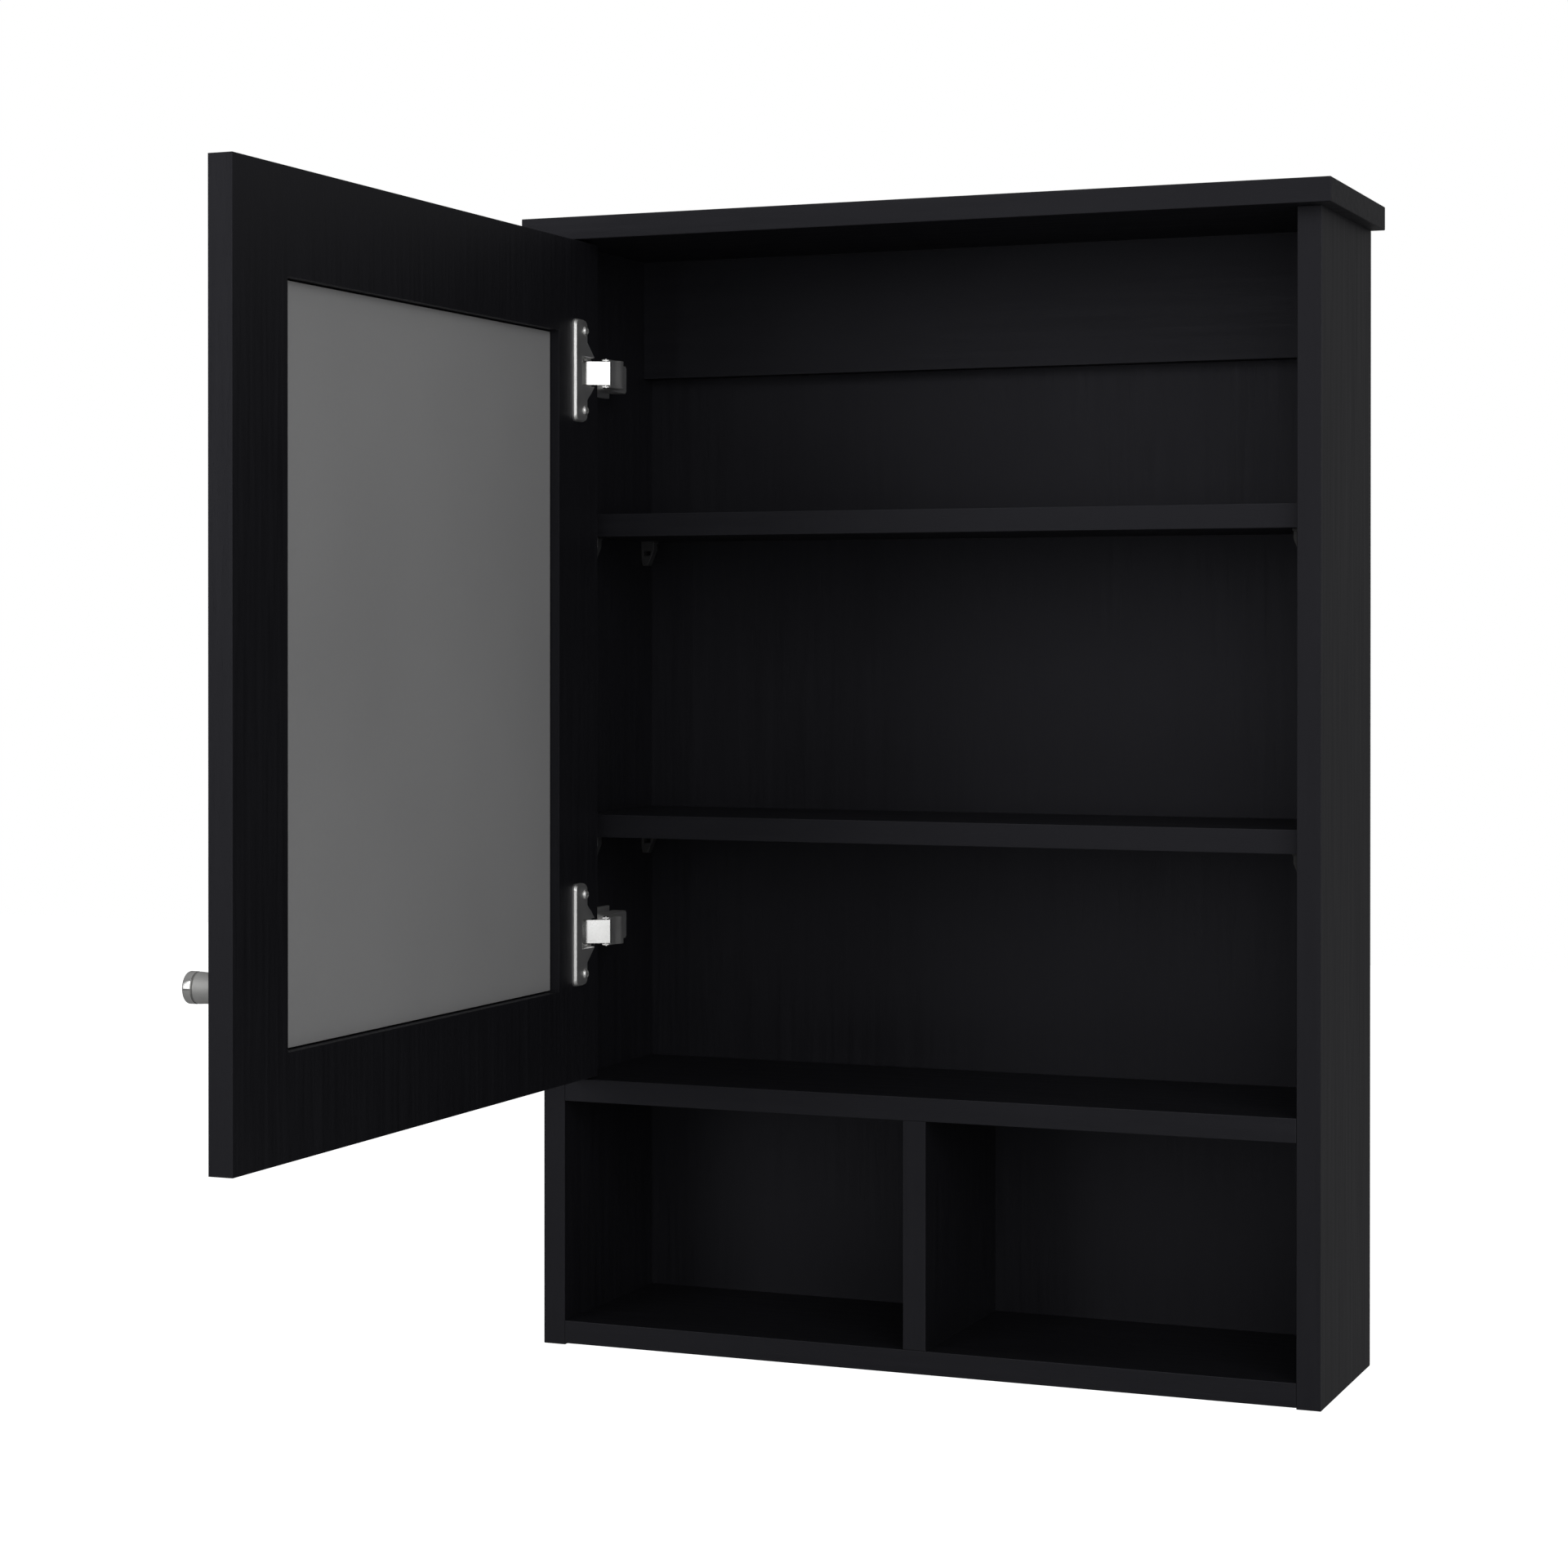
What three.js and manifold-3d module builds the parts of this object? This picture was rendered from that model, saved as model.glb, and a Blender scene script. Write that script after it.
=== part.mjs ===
// Wall-hung medicine cabinet with one mirror door, two adjustable shelves and two open cubbies below.
// Units are millimetres. X runs across the cabinet, Y runs back towards the wall and Z is up.
// The pieces are placed from the middle of the side panels' front edges at their feet, and the whole
// cabinet is then moved so that the origin lies on its rear face, behind the middle of the hanging rail.
// The door is drawn standing open at a right angle, hung on two concealed cup hinges on the left.

import * as THREE from "three";
import { mergeVertices } from "three/addons/utils/BufferGeometryUtils.js";
import Module from "manifold-3d";

const wasm = await Module();
wasm.setup();

// ---- Driving dimensions ----

// Carcass
const BOARD = 15;
const BACK_SHEET = 3;
const INNER_WIDTH = 488;
const DEPTH = 148;
const SIDE_HEIGHT = 731;
const CROWN_SIDE_OVERHANG = 9;
const CROWN_FRONT_OVERHANG = 16;
const BOTTOM_RAISED = 1;
const CUBBY_TOP = 162;
const RAIL_HEIGHT = 81;
const BACK_MARGIN = 3;

// Adjustable shelves and their pins
const SHELF_UNDERSIDES = { lower: 336.5, upper: 536.5 };
const SHELF_FRONT = 16.5;
const SHELF_CLEARANCE = 1;
const PIN_SETBACKS = { front: 36, rear: 132 };
const PIN_STEM_RADIUS = 2.5;
const PIN_STEM_LENGTH = 8;
const PIN_STEM_DROP = 10.5;
const PIN_SEAT = { reach: 10, width: 8, thickness: 1.5 };
const PIN_BODY = { reach: 9.5, width: 6.5, shoulder: 6, height: 17, footNear: 1, footFar: 5 };
const PIN_SLOT = { near: 1.8, far: 6.8, foot: -9.8, head: -6.8 };

// Door: the frame board, the steps that hold the mirror, and where it stands closed and open
const DOOR_WIDTH = 482;
const DOOR_FOOT = 179;
const DOOR_HEAD = 729;
const DOOR_MEMBER = 61;
const LIP_WIDTH = 7;
const LIP_THICKNESS = 5;
const LIP_CHAMFER = 1.5;
const GLASS_THICKNESS = 3;
const BACKING_THICKNESS = 0.5;
const GLUE_GAP = 0.25;
const GLASS_CLEARANCE = 1;
const DOOR_CLOSED = { x: 3, y: 0 };
const DOOR_OPEN = { x: 6, y: 6 };

// Knob and the double-ended stud that holds it
const KNOB_FROM_FREE_EDGE = 30.5;
const KNOB_HEIGHT = 277;
const KNOB_RADIUS = 9;
const KNOB_LENGTH = 29.5;
const KNOB_HEAD = 5.6;
const KNOB_EDGE = 0.3;
const KNOB_WAIST = { depth: 0.35, from: 8, beforeGroove: 4 };
const KNOB_GROOVE = { depth: 0.6, halfWidth: 0.45 };
const KNOB_FACE = { chamfer: 0.6, rim: 2, dish: 0.8 };
const STUD_RADIUS = 2;
const STUD_GRIP = 11;

// Concealed hinges, with x from the side panel's inner face and y from the cabinet's front.
// On the door, p runs from the hinge edge and q from the outer face.
const HINGE_HEIGHTS = { lower: 275, upper: 644 };
const CUP_RADIUS = 17.5;
const CUP_DEPTH = 12;
const CUP_EDGE = 3;
const CUP_WALL = 0.8;
const CUP_LIP_LOWERED = 2;
const FLANGE_PROUD = 3;
const FLANGE = { near: 22.75, far: 40.5, nose: 11, halfHeight: 33.5, wing: 14.6, corner: 4 };
const MOUTH = { halfHeight: 9.6, far: 31 };
const EAR = { near: 4.5, far: 10.5, top: 10.5, inside: 8.2, outside: 9.4 };
const CUP_SCREW = { p: 26, z: 26 };
const CUP_PIN = { p: 8, q: 7.5 };
const ARM_PIN_REACH = 20;
const HINGE_PIN_RADIUS = 0.9;
const HINGE_PIN_CLEARANCE = 0.08;
const ARM_PIN_SUNK = 0.05;
const LINK = { eyeRadius: 1.6, halfHeight: 7.7, thickness: 1, bow: 1.9 };
const ARM = { halfHeight: 9.2, sheet: 1, flat: 16, flatFront: 38, rear: 66 };
const PLATE = { front: 14, rear: 68, thickness: 2.5, halfHeight: 12 };
const RIB = { front: 36, rear: 51.5, top: 14.6, halfHeight: 7.9 };
const PLATE_SCREWS = { front: 24, rear: 56 };
const SIDE_ADJUST_AT = 41.5;
const ARM_FIXING_AT = 47.5;

// Screws: head radius, head height, shank radius and shank length
const WOOD_SCREW = { head: 3.2, height: 1.6, shank: 1.7, length: 13 };
const FIXING_SCREW = { head: 3, height: 1.8, shank: 1.7, length: 11.5 };
const ADJUST_SCREW = { head: 2.2, height: 1.2, shank: 1.6, length: 1.1 };

// Clearance round a piece that is let into another one, and how far a cutter runs past a face
const FIT = 0.3;
const PAST = 1;

// Finishes
const BLACK_FOIL = { color: 0x202024, roughness: 0.6, metalness: 0 };
const MIRROR = { color: 0xdde3e6, roughness: 0.04, metalness: 1 };
const BACKING = { color: 0x6a6a6c, roughness: 0.7, metalness: 0 };
const NICKEL = { color: 0xc8c8c6, roughness: 0.3, metalness: 1 };
const SATIN_CHROME = { color: 0xb4b4b4, roughness: 0.35, metalness: 1 };
const BLACK_PLASTIC = { color: 0x1c1c1e, roughness: 0.45, metalness: 0 };

// ---- Derived sizes ----

const HALF_INNER = INNER_WIDTH / 2;
const HALF_OUTER = HALF_INNER + BOARD;
const CROWN_HALF = HALF_OUTER + CROWN_SIDE_OVERHANG;
const CUBBY_FLOOR = BOTTOM_RAISED + BOARD;
const RAIL_FOOT = SIDE_HEIGHT - RAIL_HEIGHT;
const REAR = DEPTH + BACK_SHEET;
const CUP_CENTRE = CUP_EDGE + CUP_RADIUS;
const CUP_FLOOR = BOARD - CUP_DEPTH;
const FLANGE_TOP = BOARD + FLANGE_PROUD;
const PIN_HOLE = HINGE_PIN_RADIUS + HINGE_PIN_CLEARANCE;

// ---- Solids ----

// A manifold-3d solid from a closed three.js geometry
function solid(geometry) {
  const bare = geometry.index ? geometry.toNonIndexed() : geometry.clone();
  bare.deleteAttribute("normal");
  bare.deleteAttribute("uv");
  const merged = mergeVertices(bare, 1e-4);
  return new wasm.Manifold(new wasm.Mesh({
    numProp: 3,
    vertProperties: Float32Array.from(merged.attributes.position.array),
    triVerts: Uint32Array.from(merged.index.array),
  }));
}

function geometryOf(manifold) {
  const mesh = manifold.getMesh();
  const geometry = new THREE.BufferGeometry();
  geometry.setAttribute("position", new THREE.BufferAttribute(mesh.vertProperties, 3));
  geometry.setIndex(new THREE.BufferAttribute(mesh.triVerts, 1));
  geometry.computeVertexNormals();
  return geometry;
}

function join(pieces) {
  return pieces.reduce((sum, next) => sum.add(next));
}

function cut(body, cutters) {
  return cutters.reduce((rest, cutter) => rest.subtract(cutter), body);
}

function box(x0, x1, y0, y1, z0, z1) {
  const geometry = new THREE.BoxGeometry(x1 - x0, y1 - y0, z1 - z0);
  return geometry.translate((x0 + x1) / 2, (y0 + y1) / 2, (z0 + z1) / 2);
}

function block(x0, x1, y0, y1, z0, z1) {
  return solid(box(x0, x1, y0, y1, z0, z1));
}

// A cylinder along one axis. The two places are on the other two axes, in the order x, y, z.
function rod(axis, radius, from, to, placeA, placeB, sides = 24) {
  const cylinder = new THREE.CylinderGeometry(radius, radius, to - from, sides);
  cylinder.translate(0, (from + to) / 2, 0);
  if (axis === "x") cylinder.rotateZ(-Math.PI / 2).translate(0, placeA, placeB);
  if (axis === "y") cylinder.translate(placeA, 0, placeB);
  if (axis === "z") cylinder.rotateX(Math.PI / 2).translate(placeA, placeB, 0);
  return solid(cylinder);
}

function outline(points) {
  return new THREE.Shape(points.map(([x, y]) => new THREE.Vector2(x, y)));
}

// An outline in X and Y, pushed up from z0 to z1
function prismUp(shape, z0, z1) {
  const pushed = new THREE.ExtrudeGeometry(shape, { depth: z1 - z0, bevelEnabled: false, curveSegments: 6 });
  return solid(pushed.translate(0, 0, z0));
}

// An outline in X and Z, pushed back from y0 to y1
function prismBack(shape, y0, y1) {
  const pushed = new THREE.ExtrudeGeometry(shape, { depth: y1 - y0, bevelEnabled: false, curveSegments: 6 });
  return solid(pushed.translate(0, 0, -y1).rotateX(Math.PI / 2));
}

function piece(name, shape, finish) {
  const geometry = shape.isBufferGeometry ? shape : geometryOf(shape);
  const mesh = new THREE.Mesh(geometry, new THREE.MeshStandardMaterial(finish));
  mesh.name = name;
  return mesh;
}

function board(name, x0, x1, y0, y1, z0, z1) {
  return piece(name, box(x0, x1, y0, y1, z0, z1), BLACK_FOIL);
}

// A screw with a domed head and a cross slot, pointing down, with the underside of its head at z = 0
function screw(name, { head, height, shank, length }) {
  const point = Math.min(shank * 1.5, length / 2);
  const profile = [
    [0, -length],
    [shank * 0.4, -length],
    [shank, point - length],
    [shank, 0],
    [head, 0],
    [head, height * 0.45],
    [head * 0.8, height * 0.85],
    [head * 0.45, height],
    [0, height],
  ];
  const turned = new THREE.LatheGeometry(profile.map(([r, y]) => new THREE.Vector2(r, y)), 20);
  const reach = head * 0.55;
  const half = head * 0.14;
  const floor = height * 0.4;
  const slots = [
    block(-reach, reach, -half, half, floor, height + PAST),
    block(-half, half, -reach, reach, floor, height + PAST),
  ];
  return piece(name, cut(solid(turned.rotateX(Math.PI / 2)), slots), NICKEL);
}

function screwHole(axis, radius, from, to, placeA, placeB) {
  return rod(axis, radius + FIT, from, to, placeA, placeB, 16);
}

// ---- Carcass ----

// The side panels are bored for the shelf pins, and the left one for the hinge plates' screws too.
function sidePanel(name, inner, outer, plateHeights) {
  const inward = Math.sign(inner - outer);
  const bores = [];
  for (const underside of Object.values(SHELF_UNDERSIDES)) {
    for (const setback of Object.values(PIN_SETBACKS)) {
      const end = inner - inward * (PIN_STEM_LENGTH + PAST);
      const mouth = inner + inward * PAST;
      const [from, to] = [Math.min(end, mouth), Math.max(end, mouth)];
      bores.push(screwHole("x", PIN_STEM_RADIUS, from, to, setback, underside - PIN_STEM_DROP));
    }
  }
  for (const height of plateHeights) {
    for (const at of Object.values(PLATE_SCREWS)) {
      const end = inner - inward * WOOD_SCREW.length;
      bores.push(screwHole("x", WOOD_SCREW.shank, end, inner + inward * PAST, at, height));
    }
  }
  const left = Math.min(inner, outer);
  const right = Math.max(inner, outer);
  return piece(name, cut(block(left, right, 0, DEPTH, 0, SIDE_HEIGHT), bores), BLACK_FOIL);
}

// A shelf pin: a flat seat over a tapering bracket with a slot through it, on a round stem that enters the
// panel. It is drawn for the left panel, with its top at z = 0.
function shelfPin(name) {
  const { reach, width, shoulder, height, footNear, footFar } = PIN_BODY;
  const stemFoot = PIN_STEM_DROP + PIN_STEM_RADIUS;
  const bracket = outline([
    [0, 0], [0, -stemFoot], [footNear, -height], [footFar, -height], [reach, -shoulder], [reach, 0],
  ]);
  const body = prismBack(bracket, -width / 2, width / 2);
  const seat = block(0, PIN_SEAT.reach, -PIN_SEAT.width / 2, PIN_SEAT.width / 2, -PIN_SEAT.thickness, 0);
  const stem = rod("x", PIN_STEM_RADIUS, -PIN_STEM_LENGTH, PAST, 0, -PIN_STEM_DROP);
  const slot = block(PIN_SLOT.near, PIN_SLOT.far, -width, width, PIN_SLOT.foot, PIN_SLOT.head);
  return piece(name, cut(body.add(seat).add(stem), [slot]), BLACK_PLASTIC);
}

function makeCarcass() {
  const carcass = new THREE.Group();
  carcass.add(sidePanel("left_side_panel", -HALF_INNER, -HALF_OUTER, Object.values(HINGE_HEIGHTS)));
  carcass.add(sidePanel("right_side_panel", HALF_INNER, HALF_OUTER, []));
  const crownTop = SIDE_HEIGHT + BOARD;
  const backEdge = HALF_OUTER - BACK_MARGIN;
  carcass.add(
    board("crown_board", -CROWN_HALF, CROWN_HALF, -CROWN_FRONT_OVERHANG, DEPTH, SIDE_HEIGHT, crownTop),
    board("bottom_panel", -HALF_INNER, HALF_INNER, 0, DEPTH, BOTTOM_RAISED, CUBBY_FLOOR),
    board("fixed_shelf", -HALF_INNER, HALF_INNER, 0, DEPTH, CUBBY_TOP, CUBBY_TOP + BOARD),
    board("cubby_divider", -BOARD / 2, BOARD / 2, 0, DEPTH, CUBBY_FLOOR, CUBBY_TOP),
    board("hanging_rail", -HALF_INNER, HALF_INNER, DEPTH - BOARD, DEPTH, RAIL_FOOT, SIDE_HEIGHT),
    board("back_panel", -backEdge, backEdge, DEPTH, REAR, BACK_MARGIN, crownTop - BACK_MARGIN),
  );
  const shelfEnd = HALF_INNER - SHELF_CLEARANCE;
  for (const [level, underside] of Object.entries(SHELF_UNDERSIDES)) {
    const rear = DEPTH - SHELF_CLEARANCE;
    const top = underside + BOARD;
    carcass.add(board(`${level}_shelf`, -shelfEnd, shelfEnd, SHELF_FRONT, rear, underside, top));
    for (const [place, setback] of Object.entries(PIN_SETBACKS)) {
      const leftPin = shelfPin(`${level}_shelf_pin_left_${place}`);
      leftPin.position.set(-HALF_INNER, setback, underside);
      const rightPin = shelfPin(`${level}_shelf_pin_right_${place}`);
      rightPin.position.set(HALF_INNER, setback, underside);
      rightPin.rotation.z = Math.PI;
      carcass.add(leftPin, rightPin);
    }
  }
  return carcass;
}

// ---- Door, drawn with x = p, y = q and z = height ----

// A block whose front face is wider all round, for a chamfer
function chamferCutter(x0, x1, depth, z0, z1) {
  const geometry = box(x0, x1, -PAST, depth, z0, z1);
  const places = geometry.attributes.position;
  const spread = depth + PAST;
  for (let i = 0; i < places.count; i += 1) {
    if (places.getY(i) < 0) {
      places.setX(i, places.getX(i) + (places.getX(i) < (x0 + x1) / 2 ? -spread : spread));
      places.setZ(i, places.getZ(i) + (places.getZ(i) < (z0 + z1) / 2 ? -spread : spread));
    }
  }
  return solid(geometry);
}

function makeDoorFrame() {
  const left = DOOR_MEMBER;
  const right = DOOR_WIDTH - DOOR_MEMBER;
  const foot = DOOR_FOOT + DOOR_MEMBER;
  const head = DOOR_HEAD - DOOR_MEMBER;
  const window = [left + LIP_WIDTH, right - LIP_WIDTH, foot + LIP_WIDTH, head - LIP_WIDTH];
  const cutters = [
    block(left, right, LIP_THICKNESS, BOARD + PAST, foot, head),
    block(window[0], window[1], -PAST, BOARD, window[2], window[3]),
    chamferCutter(window[0], window[1], LIP_CHAMFER, window[2], window[3]),
    screwHole("y", STUD_RADIUS, -PAST, STUD_GRIP + PAST, DOOR_WIDTH - KNOB_FROM_FREE_EDGE, KNOB_HEIGHT),
  ];
  for (const height of Object.values(HINGE_HEIGHTS)) {
    cutters.push(rod("y", CUP_RADIUS + FIT, CUP_FLOOR - FIT, BOARD + PAST, CUP_CENTRE, height, 48));
    for (const side of [-1, 1]) {
      const z = height + side * CUP_SCREW.z;
      const end = FLANGE_TOP - WOOD_SCREW.length - FIT;
      cutters.push(screwHole("y", WOOD_SCREW.shank, end, BOARD + PAST, CUP_SCREW.p, z));
    }
  }
  return piece("door_frame", cut(block(0, DOOR_WIDTH, 0, BOARD, DOOR_FOOT, DOOR_HEAD), cutters), BLACK_FOIL);
}

function mirrorSheet(name, front, thickness, finish) {
  const inset = DOOR_MEMBER + GLASS_CLEARANCE;
  const foot = DOOR_FOOT + inset;
  const head = DOOR_HEAD - inset;
  return piece(name, box(inset, DOOR_WIDTH - inset, front, front + thickness, foot, head), finish);
}

// The knob stands along z here, with its foot at z = 0, and is turned to point out of the door.
function makeKnob() {
  const groove = KNOB_LENGTH - KNOB_HEAD;
  const waist = KNOB_RADIUS - KNOB_WAIST.depth;
  const profile = [
    [0, 0],
    [KNOB_RADIUS - KNOB_EDGE, 0],
    [KNOB_RADIUS, KNOB_EDGE],
    [waist, KNOB_WAIST.from],
    [waist, groove - KNOB_WAIST.beforeGroove],
    [KNOB_RADIUS, groove - KNOB_GROOVE.halfWidth],
    [KNOB_RADIUS - KNOB_GROOVE.depth, groove],
    [KNOB_RADIUS, groove + KNOB_GROOVE.halfWidth],
    [KNOB_RADIUS, KNOB_LENGTH - KNOB_FACE.chamfer],
    [KNOB_RADIUS - KNOB_FACE.chamfer, KNOB_LENGTH],
    [KNOB_RADIUS - KNOB_FACE.rim, KNOB_LENGTH],
    [0, KNOB_LENGTH - KNOB_FACE.dish],
  ];
  const turned = new THREE.LatheGeometry(profile.map(([r, y]) => new THREE.Vector2(r, y)), 40);
  const bore = screwHole("z", STUD_RADIUS, -PAST, STUD_GRIP + PAST, 0, 0);
  const knob = piece("knob", cut(solid(turned.rotateX(Math.PI / 2)), [bore]), SATIN_CHROME);
  knob.rotation.x = Math.PI / 2;
  return knob;
}

// The flange's outline: a wing above and below, and a nose towards the door's edge, split by the mouth
function flangeOutline() {
  const { near, far, nose, halfHeight, wing, corner } = FLANGE;
  const shoulder = halfHeight - wing;
  const shape = new THREE.Shape();
  shape.moveTo(MOUTH.far, MOUTH.halfHeight);
  shape.lineTo(nose, MOUTH.halfHeight);
  shape.lineTo(near, shoulder);
  shape.lineTo(near, halfHeight - corner);
  shape.absarc(near + corner, halfHeight - corner, corner, Math.PI, Math.PI / 2, true);
  shape.lineTo(far - corner, halfHeight);
  shape.absarc(far - corner, halfHeight - corner, corner, Math.PI / 2, 0, true);
  shape.lineTo(far, corner - halfHeight);
  shape.absarc(far - corner, corner - halfHeight, corner, 0, -Math.PI / 2, true);
  shape.lineTo(near + corner, -halfHeight);
  shape.absarc(near + corner, corner - halfHeight, corner, -Math.PI / 2, -Math.PI, true);
  shape.lineTo(near, -shoulder);
  shape.lineTo(nose, -MOUTH.halfHeight);
  shape.lineTo(MOUTH.far, -MOUTH.halfHeight);
  shape.closePath();
  return shape;
}

// The cup, with its flange, its open mouth and the two ears inside that carry the cup pin
function makeCup(name) {
  const shell = rod("y", CUP_RADIUS, CUP_FLOOR, BOARD, CUP_CENTRE, 0, 48);
  const hollow = rod("y", CUP_RADIUS - CUP_WALL, CUP_FLOOR + CUP_WALL, BOARD + PAST, CUP_CENTRE, 0, 48);
  const lipTop = BOARD - CUP_LIP_LOWERED;
  const lip = block(0, CUP_CENTRE, lipTop, BOARD + PAST, -MOUTH.halfHeight, MOUTH.halfHeight);
  const pinHole = rod("z", PIN_HOLE, -CUP_RADIUS, CUP_RADIUS, CUP_PIN.p, CUP_PIN.q);
  const inside = rod("y", CUP_RADIUS - CUP_WALL / 2, CUP_FLOOR, BOARD, CUP_CENTRE, 0, 48);
  const ears = [-1, 1].map((side) => {
    const z0 = side > 0 ? EAR.inside : -EAR.outside;
    const z1 = side > 0 ? EAR.outside : -EAR.inside;
    return block(EAR.near, EAR.far, CUP_FLOOR + CUP_WALL / 2, EAR.top, z0, z1).intersect(inside);
  });
  const flange = prismBack(flangeOutline(), BOARD, FLANGE_TOP);
  const screwHoles = [-1, 1].map((side) => (
    screwHole("y", WOOD_SCREW.shank, BOARD - PAST, FLANGE_TOP + PAST, CUP_SCREW.p, side * CUP_SCREW.z)
  ));
  const cup = join([cut(shell, [hollow, lip]), flange, ...ears]);
  return piece(name, cut(cup, [...screwHoles, pinHole]), NICKEL);
}

function makeDoorHinge(level) {
  const hinge = new THREE.Group();
  const pinReach = EAR.outside + FIT;
  hinge.add(makeCup(`${level}_hinge_cup`));
  const cupPin = rod("z", HINGE_PIN_RADIUS, -pinReach, pinReach, CUP_PIN.p, CUP_PIN.q);
  hinge.add(piece(`${level}_hinge_cup_pin`, cupPin, NICKEL));
  for (const [end, side] of [["bottom", -1], ["top", 1]]) {
    const cupScrew = screw(`${level}_cup_screw_${end}`, WOOD_SCREW);
    cupScrew.rotation.x = -Math.PI / 2;
    cupScrew.position.set(CUP_SCREW.p, FLANGE_TOP, side * CUP_SCREW.z);
    hinge.add(cupScrew);
  }
  hinge.position.z = HINGE_HEIGHTS[level];
  return hinge;
}

function makeDoor() {
  const door = new THREE.Group();
  const glassFront = LIP_THICKNESS + GLUE_GAP;
  const backingFront = glassFront + GLASS_THICKNESS + GLUE_GAP;
  const knob = makeKnob();
  knob.position.set(DOOR_WIDTH - KNOB_FROM_FREE_EDGE, 0, KNOB_HEIGHT);
  const studPlace = [DOOR_WIDTH - KNOB_FROM_FREE_EDGE, KNOB_HEIGHT];
  door.add(
    makeDoorFrame(),
    mirrorSheet("mirror_glass", glassFront, GLASS_THICKNESS, MIRROR),
    mirrorSheet("mirror_backing", backingFront, BACKING_THICKNESS, BACKING),
    knob,
    piece("knob_stud", rod("y", STUD_RADIUS, -STUD_GRIP, STUD_GRIP, ...studPlace, 16), NICKEL),
    makeDoorHinge("lower"),
    makeDoorHinge("upper"),
  );
  return door;
}

// ---- Hinge links, arms and plates, drawn for the open door in the frame of each hinge ----

// With the door turned by the opening angle about the pole, its open and closed places are one turn apart.
// The arm's pin lies where the cup's pin is equally far from it at both places.
function hingePoints() {
  const { x: closedX, y: closedY } = DOOR_CLOSED;
  const { x: openX, y: openY } = DOOR_OPEN;
  const pole = {
    x: (openX - closedY + openY + closedX) / 2,
    y: (openY + closedX - openX + closedY) / 2,
  };
  const closedPin = new THREE.Vector2(closedX + CUP_PIN.p, closedY + CUP_PIN.q);
  const openPin = new THREE.Vector2(openX + CUP_PIN.q, openY - CUP_PIN.p);
  const angle = Math.atan2(closedPin.y - pole.y, closedPin.x - pole.x) - Math.PI / 4;
  const armPin = new THREE.Vector2(
    pole.x + ARM_PIN_REACH * Math.cos(angle),
    pole.y + ARM_PIN_REACH * Math.sin(angle),
  );
  return { armPin, openPin };
}

// The link is a bowed strip with a rolled eye at each end.
function makeLink(level, armPin, openPin) {
  const steps = 14;
  const along = armPin.clone().sub(openPin);
  const across = new THREE.Vector2(along.y, -along.x).normalize();
  const edge = (offset) => Array.from({ length: steps + 1 }, (_, i) => {
    const u = i / steps;
    const bow = LINK.bow * 4 * u * (1 - u) + offset;
    const point = openPin.clone().addScaledVector(along, u).addScaledVector(across, bow);
    return [point.x, point.y];
  });
  const half = LINK.thickness / 2;
  const section = outline([...edge(half), ...edge(-half).reverse()]);
  const strip = prismUp(section, -LINK.halfHeight, LINK.halfHeight);
  const ends = [openPin, armPin];
  const eyes = ends.map(({ x, y }) => rod("z", LINK.eyeRadius, -LINK.halfHeight, LINK.halfHeight, x, y));
  const holes = ends.map(({ x, y }) => rod("z", PIN_HOLE, -CUP_RADIUS, CUP_RADIUS, x, y));
  return piece(`${level}_hinge_link`, cut(join([strip, ...eyes]), holes), NICKEL);
}

// The arm is a channel that is cranked out from the panel, open towards the panel and at its tip.
function makeArm(level, armPin) {
  const { halfHeight, sheet, flat, flatFront, rear } = ARM;
  const outer = outline([
    [24.6, 6], [25, 4.6], [28.8, 4.6], [29.6, 8], [29.6, 18.6], [32.5, 20], [32.5, 25],
    [flat, flatFront], [flat, rear], [6, rear], [6, 36], [10, 32], [24.6, 18],
  ]);
  const channel = outline([
    [-PAST, 8.6], [28.6, 8.6], [28.6, 19.2], [31.5, 20.6], [31.5, 24.5],
    [flat - sheet, flatFront - 0.5], [flat - sheet, rear + PAST], [-PAST, rear + PAST],
  ]);
  const wall = halfHeight - sheet;
  const cutters = [
    prismUp(channel, -wall, wall),
    block(-PAST, 40, 0, 9, -wall, wall),
    rod("z", PIN_HOLE, -CUP_RADIUS, CUP_RADIUS, armPin.x, armPin.y),
    screwHole("x", FIXING_SCREW.shank, flat - 3, flat + PAST, ARM_FIXING_AT, 0),
    screwHole("x", ADJUST_SCREW.shank, flat - 3, flat + PAST, SIDE_ADJUST_AT, 0),
  ];
  return piece(`${level}_hinge_arm`, cut(prismUp(outer, -halfHeight, halfHeight), cutters), NICKEL);
}

// The mounting plate: a flat base on the panel, with a rib that the arm sits over
function makePlate(level) {
  const base = block(0, PLATE.thickness, PLATE.front, PLATE.rear, -PLATE.halfHeight, PLATE.halfHeight);
  const rib = block(0, RIB.top, RIB.front, RIB.rear, -RIB.halfHeight, RIB.halfHeight);
  const fixingFloor = ARM.flat - FIXING_SCREW.length - FIT;
  const holes = Object.values(PLATE_SCREWS).map((at) => (
    screwHole("x", WOOD_SCREW.shank, -PAST, PLATE.thickness + PAST, at, 0)
  ));
  holes.push(screwHole("x", FIXING_SCREW.shank, fixingFloor, RIB.top + PAST, ARM_FIXING_AT, 0));
  return piece(`${level}_mounting_plate`, cut(base.add(rib), holes), NICKEL);
}

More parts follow.
